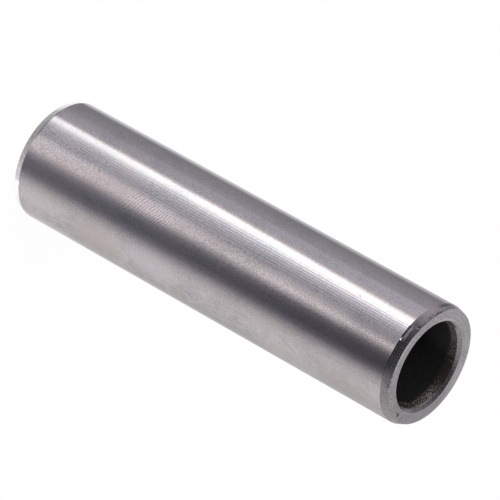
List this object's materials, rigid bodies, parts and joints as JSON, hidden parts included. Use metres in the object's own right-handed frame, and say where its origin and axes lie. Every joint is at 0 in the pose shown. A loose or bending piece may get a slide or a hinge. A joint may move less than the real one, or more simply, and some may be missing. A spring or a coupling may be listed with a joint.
{
  "type": "gudgeon pin",
  "caption": "Plain hollow cylindrical steel pin with chamfered ends that joins a piston to the small end of its connecting rod.",
  "frame": {"origin": "centre of the lower end face", "axes": "+Z along the pin's axis, from the lower end face to the upper one; X and Y are free, because the pin is round"},
  "size_m": [0.013, 0.013, 0.05],
  "materials": {
    "hardened_steel": "ground bright on the barrel, turned on the ends, dark scale in the bore"
  },
  "bodies": {
    "root": {"gudgeon_pin": "hardened_steel"}
  },
  "joints": []
}
